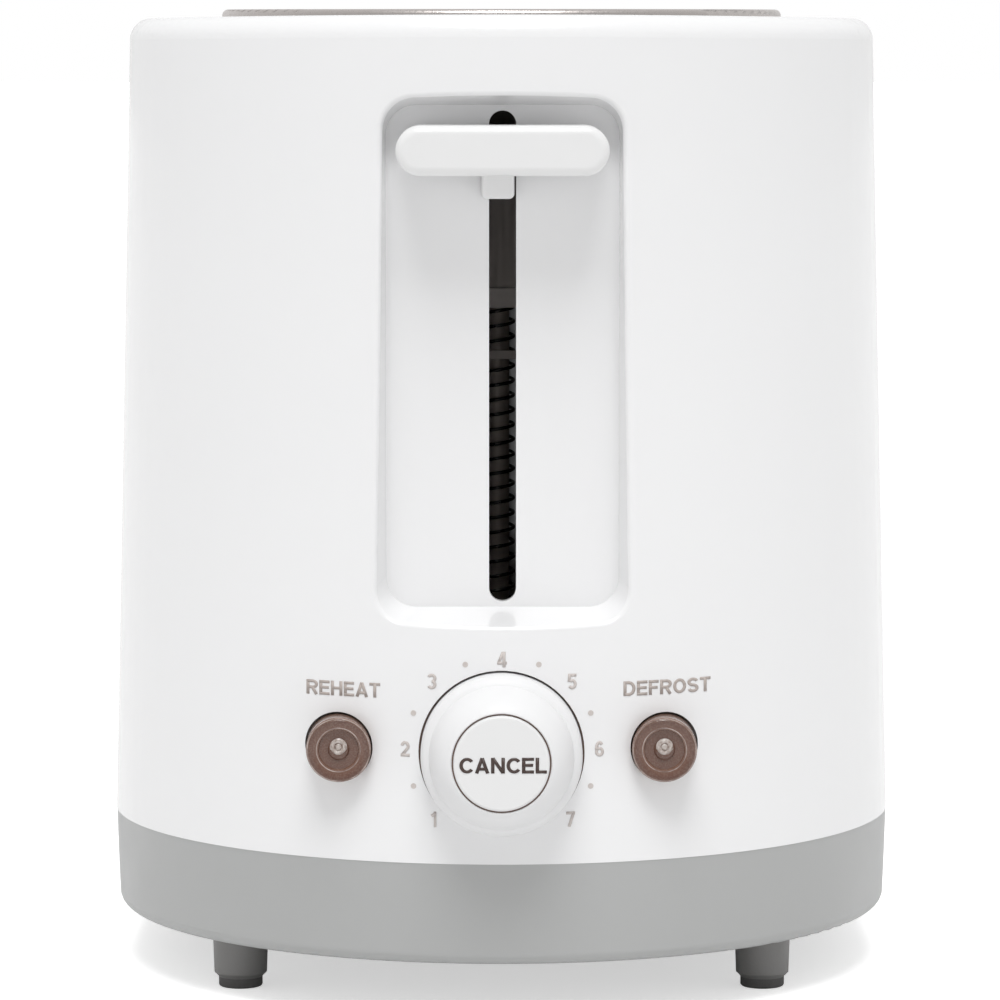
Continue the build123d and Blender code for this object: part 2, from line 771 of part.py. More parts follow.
def potentiometer_body():
    y0, y1 = pot_front_y, board_y[0]
    half = pot_half_width
    body = block(-half, half, y0, y1, dial_z - half, dial_z + half)
    body = fillet(body.edges().filter_by(Axis.Y), 2.0)
    return body - pin_y(0, dial_z, rotor_collar_radius + 0.2, y0 - 1, y1 + 1)


def potentiometer_rotor():
    """Hollow shaft that the dial's hub presses onto."""
    front, step, back = dial_web_y[1] + 0.5, pot_front_y - 2.0, pot_front_y + 1.8
    return turned_y(
        [(rotor_bore_radius, front), (rotor_radius, front), (rotor_radius, step),
         (rotor_collar_radius, step), (rotor_collar_radius, back), (rotor_bore_radius, back)], 0, dial_z)


def control_board():
    low, high = board_z
    board = block(-board_half_width, board_half_width, *board_y, low, high)
    board = fillet(board.edges().filter_by(Axis.Y), 2.0)
    for x in mirrored_x([board_screw_x]):
        for z in board_screw_z:
            board = board - pin_y(x, z, 1.35, -121.0, -117.0)
    return board


# ------------------------------------------------------------------ magnet, contacts, screws

def magnet_core():
    """E-shaped iron core on a foot that is screwed to the front end plate."""
    y0, y1 = magnet_y
    low, root, top = magnet_z
    x = magnet_x
    core = block(x - magnet_half_width, x + magnet_half_width, y0, y1, low, root)
    core = core + block(x - magnet_pole, x + magnet_pole, y0, y1, root, top)
    for side in (-1, 1):
        outer = x + side * magnet_half_width
        core = core + block(outer, outer - side * 2.5, y0, y1, root, top)
    return core + block(x - 4, x + 4, y1, front_plate_y, low, root)


def magnet_coil():
    y0, y1 = magnet_y
    x, reach = magnet_x, magnet_coil_build
    outer = block(x - 2 - reach, x + 2 + reach, y0 - 2.4, y1 + 2.4, magnet_z[1] + 1, magnet_z[2] - 1.3)
    outer = fillet(outer.edges().filter_by(Axis.Z), 2.0)
    return outer - block(x - magnet_pole, x + magnet_pole, y0, y1, magnet_z[1], magnet_z[2])


def contact_block():
    body = block(*contact_block_x, contact_front_y, front_plate_y, *contact_block_z)
    return fillet(body.edges().filter_by(Axis.Z).sort_by(Axis.Y)[:2], 1.5)


def contact_leaves():
    """Two brass leaves that the carriage closes at the bottom of its travel."""
    leaves = []
    y0, low = contact_front_y + 2, contact_block_z[1]
    for x in contact_leaf_x:
        foot_leaf = block(x - 2, x + 2, y0, y0 + 0.6, low, low + 4)
        leaf = block(x - 2, x + 2, y0, y0 + 11, low + 4, low + 4.5)
        leaves.append(foot_leaf + leaf)
    return group(leaves)


def base_screw(x, y):
    """Cross-head screw, head down, up through the base into the shell's boss."""
    top = base_z + screw_well[1]
    head = post(x, y, screw_head_radius, top - 2.2, top)
    for long, wide in ((2.4, 0.4), (0.4, 2.4)):
        head = head - block(x - long, x + long, y - wide, y + wide, top - 2.4, top - 1.1)
    return head + post(x, y, screw_radius, top - 0.4, shell_boss_top_z - 12)


def rail_screw(x, y):
    head = post(x, y, 2.8, rail_z[1], rail_z[1] + 1.8)
    return head + post(x, y, 1.45, rail_z[0] - 9, rail_z[1] + 0.5)


def board_screw(x, z):
    head = pin_y(x, z, 2.4, board_y[1], board_y[1] + 1.6)
    return head + pin_y(x, z, board_screw_radius, board_y[0] - 4.0, board_y[1] + 0.5)


def terminal_block():
    """Mains terminals on the rear end plate, beside the cord's entry."""
    y0 = rear_plate_y + plate_sheet
    low, high = terminal_z
    body = block(-1.6 * terminal_pitch, 1.6 * terminal_pitch, y0, y0 + 11.0, low, high)
    for x in (-terminal_pitch, 0.0, terminal_pitch):
        body = body - post(x, y0 + 5.5, 2.6, high - 5.0, high + 1.0)
        body = body - pin_y(x, low + 4.0, 1.8, y0 + 3.0, y0 + 12.0)
    return body


def four(x, y):
    return [(sx * x, sy * y) for sx in (-1, 1) for sy in (-1, 1)]


def all_nodes():
    nodes = {
        "body_shell": body_shell(),
        "base_housing": base_housing(),
        "top_plate": top_plate(),
        "foot_pads": group([foot_pad(x, y) for x, y in four(foot_x, foot_y)]),
        "crumb_tray": crumb_tray(),
        "tray_handle": tray_handle(),
        "cord_gland": cord_gland(),
        "lever_knob": lever_knob(),
        "lever_neck": lever_neck(),
        "carriage_bracket": carriage_bracket(),
        "carriage_bush": carriage_bush(),
        "armature_plate": armature_plate(),
        "guide_rod": guide_rod(),
        "lift_spring": lift_spring(),
        "stop_bumper": stop_bumper(),
        "front_end_plate": front_end_plate(),
        "rear_end_plate": end_plate(rear_plate_y),
        "browning_dial": browning_dial(),
        "cancel_button": cancel_button(),
        "cancel_spring": cancel_spring(),
        "cancel_switch": push_switch(0, dial_z, cancel_stem_y),
        "potentiometer_body": potentiometer_body(),
        "potentiometer_rotor": potentiometer_rotor(),
        "control_board": control_board(),
        "magnet_core": magnet_core(),
        "magnet_coil": magnet_coil(),
        "contact_block": contact_block(),
        "contact_leaves": contact_leaves(),
        "terminal_block": terminal_block(),
        "base_screws": group([base_screw(x, y) for x, y in four(screw_x, screw_y)]),
        "chassis_screws": group([
            rail_screw(side * rail_screw_x, y) for side in (-1, 1) for y in rail_screw_y]),
        "board_screws": group([
            board_screw(x, z) for x in mirrored_x([board_screw_x]) for z in board_screw_z]),
    }
    for side, hand in ((-1, "left"), (1, "right")):
        nodes[f"bread_rack_{hand}"] = bread_rack(side * slice_x)
        nodes[f"side_reflector_{hand}"] = side_reflector(side)
        nodes[f"chassis_rail_{hand}"] = chassis_rail(side)
        nodes[f"bread_guard_{hand}_inner"] = bread_guard(side * slice_x, -side)
        nodes[f"bread_guard_{hand}_outer"] = bread_guard(side * slice_x, side)
        nodes[f"foot_front_{hand}"] = foot(side * foot_x, -foot_y)
        nodes[f"foot_rear_{hand}"] = foot(side * foot_x, foot_y)
    for side, use in ((-1, "reheat"), (1, "defrost")):
        nodes[f"{use}_button"] = lens_button(side)
        nodes[f"{use}_spring"] = button_spring(side)
        nodes[f"{use}_switch"] = push_switch(
            side * button_x, button_z - 10.8, button_back_y + 1.0)
        nodes[f"{use}_led"] = led(side)
    for x, place in zip(heater_x, heater_names):
        nodes[f"heater_board_{place}"] = heater_board(x)
        nodes[f"heater_winding_{place}"] = heater_winding(x)
    return nodes


os.makedirs("parts", exist_ok=True)
for name, shape in all_nodes().items():
    export_step(Pos(0, origin_shift, 0) * shape, f"parts/{name}.step")
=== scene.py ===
import math

import bpy
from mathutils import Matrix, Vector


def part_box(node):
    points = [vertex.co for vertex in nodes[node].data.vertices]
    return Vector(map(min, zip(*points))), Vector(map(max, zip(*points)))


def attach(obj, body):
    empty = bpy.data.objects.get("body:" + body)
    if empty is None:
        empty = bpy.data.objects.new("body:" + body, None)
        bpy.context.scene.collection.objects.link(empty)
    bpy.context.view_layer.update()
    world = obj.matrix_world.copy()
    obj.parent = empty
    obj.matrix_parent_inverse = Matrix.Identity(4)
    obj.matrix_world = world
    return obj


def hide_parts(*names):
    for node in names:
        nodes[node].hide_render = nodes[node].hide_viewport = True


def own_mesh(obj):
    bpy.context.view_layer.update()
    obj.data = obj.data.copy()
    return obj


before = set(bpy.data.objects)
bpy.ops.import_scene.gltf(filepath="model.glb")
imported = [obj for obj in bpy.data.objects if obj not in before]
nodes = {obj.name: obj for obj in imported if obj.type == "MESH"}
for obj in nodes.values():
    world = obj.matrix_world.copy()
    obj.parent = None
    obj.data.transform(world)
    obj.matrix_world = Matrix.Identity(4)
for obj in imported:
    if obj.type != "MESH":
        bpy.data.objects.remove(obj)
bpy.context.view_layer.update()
bpy.ops.object.select_all(action="DESELECT")
print("frame loaded:", len(nodes), "nodes")


def newMaterial(name):
    material = bpy.data.materials.new(name)
    material.use_nodes = True
    tree = material.node_tree
    shader = tree.nodes["Principled BSDF"]
    coords = tree.nodes.new("ShaderNodeTexCoord")
    return material, tree, shader, coords.outputs["Object"]


def setSockets(shader, values):
    for socket, value in values.items():
        shader.inputs[socket].default_value = value


def stretched(tree, vector, scale):
    mapping = tree.nodes.new("ShaderNodeMapping")
    mapping.inputs["Scale"].default_value = scale
    tree.links.new(vector, mapping.inputs["Vector"])
    return mapping.outputs["Vector"]


def noise(tree, vector, scale, detail=3.0, roughness=0.5):
    texture = tree.nodes.new("ShaderNodeTexNoise")
    texture.inputs["Scale"].default_value = scale
    texture.inputs["Detail"].default_value = detail
    texture.inputs["Roughness"].default_value = roughness
    tree.links.new(vector, texture.inputs["Vector"])
    return texture.outputs["Fac"]


def spread(tree, value, low, high, start=0.3, end=0.7):
    reach = tree.nodes.new("ShaderNodeMapRange")
    reach.inputs["From Min"].default_value = start
    reach.inputs["From Max"].default_value = end
    reach.inputs["To Min"].default_value = low
    reach.inputs["To Max"].default_value = high
    tree.links.new(value, reach.inputs["Value"])
    return reach.outputs["Result"]


def twoTone(tree, value, dark, light, start=0.3, end=0.7):
    ramp = tree.nodes.new("ShaderNodeValToRGB")
    ramp.color_ramp.elements[0].position = start
    ramp.color_ramp.elements[1].position = end
    ramp.color_ramp.elements[0].color = (*dark, 1)
    ramp.color_ramp.elements[1].color = (*light, 1)
    tree.links.new(value, ramp.inputs["Fac"])
    return ramp.outputs["Color"]


def bump(tree, shader, height, strength, distance):
    node = tree.nodes.new("ShaderNodeBump")
    node.inputs["Strength"].default_value = strength
    node.inputs["Distance"].default_value = distance
    tree.links.new(height, node.inputs["Height"])
    tree.links.new(node.outputs["Normal"], shader.inputs["Normal"])


def shade(color, amount):
    return tuple(min(1.0, channel * amount) for channel in color)


# what the finishes share: noise scales, bump heights in metres, low and high roughness
sharedFinish = {"flow": 14, "gloss": 60, "cloud": 30, "plasticBump": 0.0002, "fineBump": 0.0001,
                "clearBump": 0.0003, "clearRough": (0.05, 0.14), "inkGrain": 2600,
                "inkTone": (0.95, 1.04), "inkRough": (0.35, 0.5)}


def mouldedPlastic(name, look):
    # moulded plastic: faint flow tone, a fine orange peel and small changes of gloss
    material, tree, shader, place = newMaterial(name)
    flow = noise(tree, place, look.get("flow", sharedFinish["flow"]), 2)
    color = twoTone(tree, flow, shade(look["color"], 1 - look["tone"]), look["color"])
    tree.links.new(color, shader.inputs["Base Color"])
    gloss = noise(tree, place, sharedFinish["gloss"], 4)
    rough = spread(tree, gloss, look["rough"] - look["roughSpread"], look["rough"] + look["roughSpread"])
    tree.links.new(rough, shader.inputs["Roughness"])
    peel = noise(tree, place, look["grain"], 3, 0.6)
    bump(tree, shader, peel, look["grainDepth"], sharedFinish["plasticBump"])
    setSockets(shader, look.get("sockets", {}))
    return material


def brushedMetal(name, look):
    # drawn sheet or wire: long fine lines along one axis, over a cloudy tone
    material, tree, shader, place = newMaterial(name)
    lines = noise(tree, stretched(tree, place, look["lines"]), 1.0, 5, 0.65)
    cloud = noise(tree, place, sharedFinish["cloud"], 3)
    color = twoTone(tree, cloud, shade(look["color"], 1 - look["tone"]), look["color"])
    tree.links.new(color, shader.inputs["Base Color"])
    rough = spread(tree, lines, look["rough"] - look["roughSpread"], look["rough"] + look["roughSpread"])
    tree.links.new(rough, shader.inputs["Roughness"])
    bump(tree, shader, lines, look["lineDepth"], sharedFinish["fineBump"])
    setSockets(shader, {"Metallic": 1.0, **look.get("sockets", {})})
    return material


def micaSheet(name, look):
    # pressed mica: small overlapping flakes with a pearly shine
    material, tree, shader, place = newMaterial(name)
    flakes = tree.nodes.new("ShaderNodeTexVoronoi")
    flakes.inputs["Scale"].default_value = look["flakes"]
    tree.links.new(place, flakes.inputs["Vector"])
    color = twoTone(tree, flakes.outputs["Distance"], look["dark"], look["light"], 0.1, 0.6)
    tree.links.new(color, shader.inputs["Base Color"])
    tree.links.new(spread(tree, flakes.outputs["Distance"], *look["rough"]), shader.inputs["Roughness"])
    bump(tree, shader, flakes.outputs["Distance"], look["flakeDepth"], sharedFinish["fineBump"])
    return material


def laminateBoard(name, look):
    # paper laminate of a circuit board: brown, with fibres both ways
    material, tree, shader, place = newMaterial(name)
    fibres = noise(tree, stretched(tree, place, look["fibres"]), 1.0, 4, 0.7)
    color = twoTone(tree, fibres, look["dark"], look["light"])
    tree.links.new(color, shader.inputs["Base Color"])
    tree.links.new(spread(tree, fibres, *look["rough"]), shader.inputs["Roughness"])
    bump(tree, shader, fibres, look["fibreDepth"], sharedFinish["fineBump"])
    return material


def buttonPlastic(name, look):
    # brown see-through button: tone by distance from the button's middle line, lighter at the inner ring and
    # at the rim as painted highlights, with a fine speckle of painted glints
    material, tree, shader, place = newMaterial(name)
    parts = tree.nodes.new("ShaderNodeSeparateXYZ")
    tree.links.new(place, parts.inputs["Vector"])
    sideways = tree.nodes.new("ShaderNodeMath")
    sideways.operation = "ABSOLUTE"
    tree.links.new(parts.outputs["X"], sideways.inputs[0])
    flat = tree.nodes.new("ShaderNodeCombineXYZ")
    tree.links.new(sideways.outputs["Value"], flat.inputs["X"])
    tree.links.new(parts.outputs["Z"], flat.inputs["Z"])
    reach = tree.nodes.new("ShaderNodeVectorMath")
    reach.operation = "DISTANCE"
    reach.inputs[1].default_value = (look["middleX"], 0, look["middleZ"])
    tree.links.new(flat.outputs["Vector"], reach.inputs[0])
    ramp = tree.nodes.new("ShaderNodeValToRGB")
    tree.links.new(spread(tree, reach.outputs["Value"], 0, 1, 0, look["radius"]), ramp.inputs["Fac"])
    stops = ramp.color_ramp.elements
    while len(stops) < len(look["brownAndHighlightRings"]):
        stops.new(0.5)
    for stop, (radius, color) in zip(stops, look["brownAndHighlightRings"]):
        stop.position = radius / look["radius"] / 1000
        stop.color = (*color, 1)
    speckle = noise(tree, place, look["speckle"], 3, 0.7)
    mixed = tree.nodes.new("ShaderNodeMix")
    mixed.data_type = "RGBA"
    tree.links.new(spread(tree, speckle, 0, look["paintedGlintShare"], 0.45, 0.75), mixed.inputs["Factor"])
    tree.links.new(ramp.outputs["Color"], mixed.inputs["A"])
    mixed.inputs["B"].default_value = (*look["paintedGlint"], 1)
    tree.links.new(mixed.outputs["Result"], shader.inputs["Base Color"])
    tree.links.new(spread(tree, speckle, *look["rough"]), shader.inputs["Roughness"])
    ripple = noise(tree, place, look["ripple"], 2, 0.5)
    bump(tree, shader, ripple, look["rippleDepth"], sharedFinish["clearBump"])
    setSockets(shader, look["sockets"])
    return material


def clearPlastic(name, look):
    # see-through plastic: light tint, moulding swirls, high gloss
    material, tree, shader, place = newMaterial(name)
    swirl = noise(tree, place, look["swirl"], 3, 0.6)
    color = twoTone(tree, swirl, look["dark"], look["light"])
    tree.links.new(color, shader.inputs["Base Color"])
    tree.links.new(spread(tree, swirl, *sharedFinish["clearRough"]), shader.inputs["Roughness"])
    ripple = noise(tree, place, look["ripple"], 2, 0.5)
    bump(tree, shader, ripple, look["rippleDepth"], sharedFinish["clearBump"])
    setSockets(shader, {"Transmission Weight": look["clear"], "IOR": 1.5, "Coat Weight": 0.6,
                        "Coat Roughness": 0.05})
    return material


def printedInk(name, color):
    # screen-printed ink: slightly uneven in tone, satin
    material, tree, shader, place = newMaterial(name)
    grain = noise(tree, place, sharedFinish["inkGrain"], 2, 0.5)
    tone = twoTone(tree, grain, *(shade(color, amount) for amount in sharedFinish["inkTone"]))
    tree.links.new(tone, shader.inputs["Base Color"])
    tree.links.new(spread(tree, grain, *sharedFinish["inkRough"]), shader.inputs["Roughness"])
    return material


whiteGloss = {"color": (0.83, 0.83, 0.835), "tone": 0.012, "rough": 0.2, "roughSpread": 0.03,
              "grain": 900, "grainDepth": 0.03, "flow": 9,
              "sockets": {"Coat Weight": 0.25, "Coat Roughness": 0.08}}
leverWhite = {"color": (0.78, 0.78, 0.78), "tone": 0.012, "rough": 0.3, "roughSpread": 0.04,
              "grain": 1200, "grainDepth": 0.04}
dialWhite = {"color": (0.79, 0.79, 0.795), "tone": 0.02, "rough": 0.42, "roughSpread": 0.05,
             "grain": 900, "grainDepth": 0.015, "sockets": {"Specular IOR Level": 0.3}}
baseGrey = {"color": (0.42, 0.425, 0.422), "tone": 0.04, "rough": 0.36, "roughSpread": 0.05,
            "grain": 1500, "grainDepth": 0.08}
# the feet's grey, darker than the base's, is painted shade from under the base
footShadeGrey = {"color": (0.24, 0.235, 0.23), "tone": 0.1, "rough": 0.42, "roughSpread": 0.06,
            "grain": 1700, "grainDepth": 0.12}
footRubber = {"color": (0.13, 0.127, 0.125), "tone": 0.2, "rough": 0.68, "roughSpread": 0.1,
              "grain": 2400, "grainDepth": 0.3}
blackPlastic = {"color": (0.03, 0.03, 0.031), "tone": 0.2, "rough": 0.42, "roughSpread": 0.06,
                "grain": 1500, "grainDepth": 0.15}
nylonCream = {"color": (0.72, 0.69, 0.6), "tone": 0.06, "rough": 0.45, "roughSpread": 0.06,
              "grain": 1300, "grainDepth": 0.1, "sockets": {"Subsurface Weight": 0.1}}
bushGrey = {"color": (0.86, 0.79, 0.75), "tone": 0.08, "rough": 0.5, "roughSpread": 0.06,
            "grain": 1300, "grainDepth": 0.1}
# the top plate's steel is tinted brown: the brown of its reflection is painted into the steel's colour
topSteelBrownReflection = {"color": (0.6, 0.56, 0.54), "tone": 0.06, "rough": 0.3, "roughSpread": 0.07,
            "lines": (1400, 30, 1400), "lineDepth": 0.06}
zincSheet = {"color": (0.66, 0.67, 0.68), "tone": 0.16, "rough": 0.38, "roughSpread": 0.1,
             "lines": (260, 260, 260), "lineDepth": 0.08}
darkSteel = {"color": (0.3, 0.27, 0.255), "tone": 0.15, "rough": 0.5, "roughSpread": 0.08,
             "lines": (1800, 1800, 60), "lineDepth": 0.12}
rodSteel = {"color": (0.55, 0.49, 0.45), "tone": 0.2, "rough": 0.5, "roughSpread": 0.1,
            "lines": (3000, 3000, 40), "lineDepth": 0.15, "sockets": {"Metallic": 0.3}}
springWire = {"color": (0.09, 0.088, 0.085), "tone": 0.2, "rough": 0.3, "roughSpread": 0.08,
              "lines": (900, 900, 900), "lineDepth": 0.05}
wireSteel = {"color": (0.62, 0.61, 0.6), "tone": 0.14, "rough": 0.26, "roughSpread": 0.08,
             "lines": (900, 900, 900), "lineDepth": 0.05}
ironBlack = {"color": (0.25, 0.25, 0.26), "tone": 0.2, "rough": 0.48, "roughSpread": 0.08,
             "lines": (1200, 300, 300), "lineDepth": 0.1}
copperWire = {"color": (0.62, 0.24, 0.09), "tone": 0.2, "rough": 0.32, "roughSpread": 0.08,
              "lines": (40, 40, 6000), "lineDepth": 0.5}
brassLeaf = {"color": (0.72, 0.53, 0.22), "tone": 0.12, "rough": 0.3, "roughSpread": 0.08,
             "lines": (1500, 60, 1500), "lineDepth": 0.06}
screwZinc = {"color": (0.55, 0.56, 0.58), "tone": 0.14, "rough": 0.33, "roughSpread": 0.08,
             "lines": (700, 700, 700), "lineDepth": 0.06}
heatRibbon = {"color": (0.36, 0.3, 0.26), "tone": 0.3, "rough": 0.45, "roughSpread": 0.1,
              "lines": (400, 60, 1500), "lineDepth": 0.1}
micaLook = {"flakes": 220, "dark": (0.42, 0.36, 0.27), "light": (0.62, 0.56, 0.45), "rough": (0.3, 0.6),
            "flakeDepth": 0.25}
boardLook = {"fibres": (400, 60, 1400), "dark": (0.24, 0.13, 0.045), "light": (0.36, 0.21, 0.08),
             "rough": (0.35, 0.5), "fibreDepth": 0.2}
brown = (0.15, 0.07, 0.047)
# the button's brown rings: the lighter stops at 4.0 mm and 6.3 mm are painted highlights of the inner ring
# and the rim; the glint colour is a painted glint
lensLook = {"middleX": 0.0318, "middleZ": 0.05405, "radius": 0.0064, "speckle": 3200, "ripple": 900,
            "rippleDepth": 0.25, "paintedGlint": (0.34, 0.23, 0.18), "paintedGlintShare": 0.4, "rough": (0.12, 0.25),
            "brownAndHighlightRings": [(0, brown), (2.0, (0.13, 0.06, 0.04)), (3.6, brown), (4.0, (0.2, 0.11, 0.08)),
                      (4.5, (0.17, 0.085, 0.06)), (5.7, (0.12, 0.055, 0.038)), (6.3, (0.24, 0.14, 0.105))],
            "sockets": {"Transmission Weight": 0.15, "IOR": 1.5, "Coat Weight": 0.3, "Coat Roughness": 0.08}}
# the clear plastic of the button's rings, rim and pip runs from the button's brown to a pale tone: painted
# highlight along the moulded rings, the rim and the pip
trimHighlightLook = {"dark": (0.16, 0.08, 0.058), "light": (0.62, 0.52, 0.47), "swirl": 420, "ripple": 1800,
            "rippleDepth": 0.3, "clear": 0.2}
pipHighlightLook = {"dark": (0.34, 0.26, 0.22), "light": (0.72, 0.66, 0.62), "swirl": 1500, "ripple": 2200,
           "rippleDepth": 0.5, "clear": 0.2}
# painted shade: the dark brown of the rings in the dial's gaps
gapShadeBrown = {"color": (0.15, 0.085, 0.065), "tone": 0.2, "rough": 0.5, "roughSpread": 0.06,
              "grain": 1500, "grainDepth": 0.1}
lampLook = {"dark": (0.8, 0.7, 0.65), "light": (0.95, 0.9, 0.87), "swirl": 500, "ripple": 600,
            "rippleDepth": 0.1, "clear": 0.2}

shellWhite = mouldedPlastic("shellWhite", whiteGloss)
zinc = brushedMetal("zincSheet", zincSheet)
black = mouldedPlastic("blackPlastic", blackPlastic)
nylon = mouldedPlastic("nylon", nylonCream)
screw = brushedMetal("screwZinc", screwZinc)
guardWire = brushedMetal("guardWire", wireSteel)
mica = micaSheet("mica", micaLook)
ribbon = brushedMetal("heatRibbon", heatRibbon)
iron = brushedMetal("iron", ironBlack)
rubber = mouldedPlastic("footRubber", footRubber)
footShadePlastic = mouldedPlastic("footShadePlastic", footShadeGrey)
baseGreyPlastic = mouldedPlastic("basePlastic", baseGrey)
springSteel = brushedMetal("springSteel", springWire)
leverPlastic = mouldedPlastic("leverPlastic", leverWhite)
lens = buttonPlastic("buttonBrown", lensLook)
lamp = clearPlastic("lampBody", lampLook)
lensTrimHighlight = clearPlastic("lensTrimHighlight", trimHighlightLook)
lensPipHighlight = clearPlastic("lensPipHighlight", pipHighlightLook)
gapShade = mouldedPlastic("gapShadePlastic", gapShadeBrown)
dialPlastic = mouldedPlastic("dialPlastic", dialWhite)

finishes = {
    "body_shell": shellWhite,
    "lever_knob": leverPlastic, "lever_neck": leverPlastic,
    "browning_dial": dialPlastic,
    "cancel_button": leverPlastic,
    "base_housing": baseGreyPlastic, "tray_handle": baseGreyPlastic,
    "top_plate": brushedMetal("topSteelBrownReflection", topSteelBrownReflection),
    "foot_": footShadePlastic, "foot_pads": rubber, "stop_bumper": rubber,
    "cord_gland": black, "guide_rod": brushedMetal("rodSteel", rodSteel),
    "front_end_plate": zinc, "rear_end_plate": zinc, "side_reflector": zinc, "chassis_rail": zinc,
    "crumb_tray": zinc, "control_board": laminateBoard("laminate", boardLook),
    "potentiometer_body": black, "potentiometer_rotor": nylon,
    "cancel_switch": black, "reheat_switch": black, "defrost_switch": black,
    "reheat_led": lamp, "defrost_led": lamp,
    "magnet_core": iron, "armature_plate": iron, "magnet_coil": brushedMetal("copper", copperWire),
    "contact_block": black, "contact_leaves": brushedMetal("brass", brassLeaf), "terminal_block": nylon,
    "base_screws": screw, "chassis_screws": screw, "board_screws": screw,
    "carriage_bracket": brushedMetal("darkSteel", darkSteel),
    "carriage_bush": mouldedPlastic("bushPlastic", bushGrey),
    "bread_rack": guardWire, "bread_guard": guardWire,
    "heater_board": mica, "heater_winding": ribbon,
    "reheat_button": lens, "defrost_button": lens,
    "lift_spring": springSteel, "cancel_spring": springSteel, "reheat_spring": springSteel,
    "defrost_spring": springSteel,
}


def finishOf(name):
    matches = [key for key in finishes if name.startswith(key)]
    return finishes[max(matches, key=len)]


for name, node in nodes.items():
    node.data.materials.clear()
    node.data.materials.append(finishOf(name))
print("finishes given")


def onlyActive(piece):
    bpy.ops.object.select_all(action="DESELECT")
    piece.select_set(True)
    bpy.context.view_layer.objects.active = piece


def applyPlace(piece):
    onlyActive(piece)
    bpy.ops.object.transform_apply(location=True, rotation=True, scale=True)


def applyModifier(piece, modifier):
    onlyActive(piece)
    bpy.ops.object.modifier_apply(modifier=modifier.name)


def middle(node):
    low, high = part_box(node)
    return (low + high) / 2


def arcThrough(first, middlePoint, last, steps=10):
    # points along the circle that goes through three points
    (ax, ay), (bx, by), (cx, cy) = first, middlePoint, last
    twice = 2 * (ax * (by - cy) + bx * (cy - ay) + cx * (ay - by))
    a2, b2, c2 = ax * ax + ay * ay, bx * bx + by * by, cx * cx + cy * cy
    x = (a2 * (by - cy) + b2 * (cy - ay) + c2 * (ay - by)) / twice
    y = (a2 * (cx - bx) + b2 * (ax - cx) + c2 * (bx - ax)) / twice
    radius = math.hypot(ax - x, ay - y)
    start, end = math.atan2(ay - y, ax - x), math.atan2(cy - y, cx - x)
    turn = (end - start + math.pi) % (2 * math.pi) - math.pi
    angles = [start + turn * step / steps for step in range(steps + 1)]
    return [(x + radius * math.cos(angle), y + radius * math.sin(angle)) for angle in angles]


def spunPiece(name, outline, front, material, body, turns=96):
    # a closed outline of (radius, depth) in millimetres, spun about the line that runs back from front
    places = [(front[0] + radius / 1000, front[1] + depth / 1000, front[2]) for radius, depth in outline]
    bpy.ops.object.select_all(action="DESELECT")
    bpy.ops.mesh.primitive_plane_add(size=0.001, location=places[0])
    piece = bpy.context.object
    piece.name = name
    applyPlace(piece)
    bpy.ops.object.mode_set(mode="EDIT")
    bpy.ops.mesh.select_all(action="SELECT")
    bpy.ops.mesh.merge(type="CENTER")
    for here, there in zip(places, places[1:] + places[:1]):
        step = tuple(b - a for a, b in zip(here, there))
        bpy.ops.mesh.extrude_region_move(TRANSFORM_OT_translate={"value": step})
    bpy.ops.mesh.select_all(action="SELECT")
    bpy.ops.mesh.spin(steps=turns, angle=2 * math.pi, center=front, axis=(0, 1, 0))
    bpy.ops.mesh.select_all(action="SELECT")
    bpy.ops.mesh.remove_doubles(threshold=0.000002)
    bpy.ops.mesh.delete_loose()
    bpy.ops.mesh.select_all(action="SELECT")
    bpy.ops.mesh.normals_make_consistent(inside=False)
    bpy.ops.object.mode_set(mode="OBJECT")
    bpy.ops.object.shade_smooth_by_angle(angle=math.radians(32))
    piece.data.materials.clear()
    piece.data.materials.append(material)
    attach(piece, body)
    return piece


# the dial's ring, in millimetres from its middle line and from its front edge
dialRing = {"lip": (10.3, 0.2), "dome": (12.95, 3.6), "shoulder": (14.1, 7.8), "bulge": (15.42, 8.9),
            "rim": (15.75, 10.4), "rear": 16.8, "skirtInside": 13.75, "webFront": 8.0, "webBack": 12.0,
            "bore": 9.6, "boreFront": 0.3, "borePoint": 0.2, "hub": 6.6, "hubEnd": 22.5, "hubBore": 5.05,
            "hubStart": 10.0, "stemHole": 2.8, "bulgeSteps": 6, "turns": 128}


def dialOutline(look):
    # from the stem hole round the front, the rim and the skirt to the hub behind
    dome = arcThrough(look["lip"], look["dome"], look["shoulder"])
    bulge = arcThrough(look["shoulder"], look["bulge"], look["rim"], look["bulgeSteps"])
    return [
        (look["stemHole"], look["webFront"]), (look["bore"], look["webFront"]),
        (look["bore"], look["boreFront"]), (look["bore"] + look["borePoint"], 0), *dome, *bulge[1:],
        (look["rim"][0], look["rear"]), (look["skirtInside"], look["rear"]),
        (look["skirtInside"], look["webBack"]), (look["hub"], look["webBack"]),
        (look["hub"], look["hubEnd"]), (look["hubBore"], look["hubEnd"]),
        (look["hubBore"], look["hubStart"]), (look["stemHole"], look["hubStart"])]


dialLow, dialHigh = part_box("browning_dial")
dialFront = ((dialLow.x + dialHigh.x) / 2, dialLow.y, (dialLow.z + dialHigh.z) / 2)
ring = spunPiece(
    "dialRing", dialOutline(dialRing), dialFront, dialPlastic, "dial", dialRing["turns"])
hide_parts("browning_dial")

# brown rings set in the gaps round the dial's cap and round the dial, in millimetres: painted shade that
# darkens the gap lines to brown
gapShadeRings = {"capGap": 0.04, "outer": 9.59, "front": 0.4, "back": 7.9, "wellInner": 15.86,
          "wellOuter": 16.19, "wellDepth": 0.5, "wellBack": 17.4, "probeAt": 0.0166}


def shellBehind(across, up):
    # how far the shell lies behind the dial's front, beside the dial
    start = (dialFront[0] + across, dialFront[1] - 0.05, dialFront[2] + up)
    return (nodes["body_shell"].ray_cast(start, (0, 1, 0))[1].y - dialFront[1]) * 1000


def tubeOutline(inner, outer, front, back):
    return [(inner, front), (outer, front), (outer, back), (inner, back)]


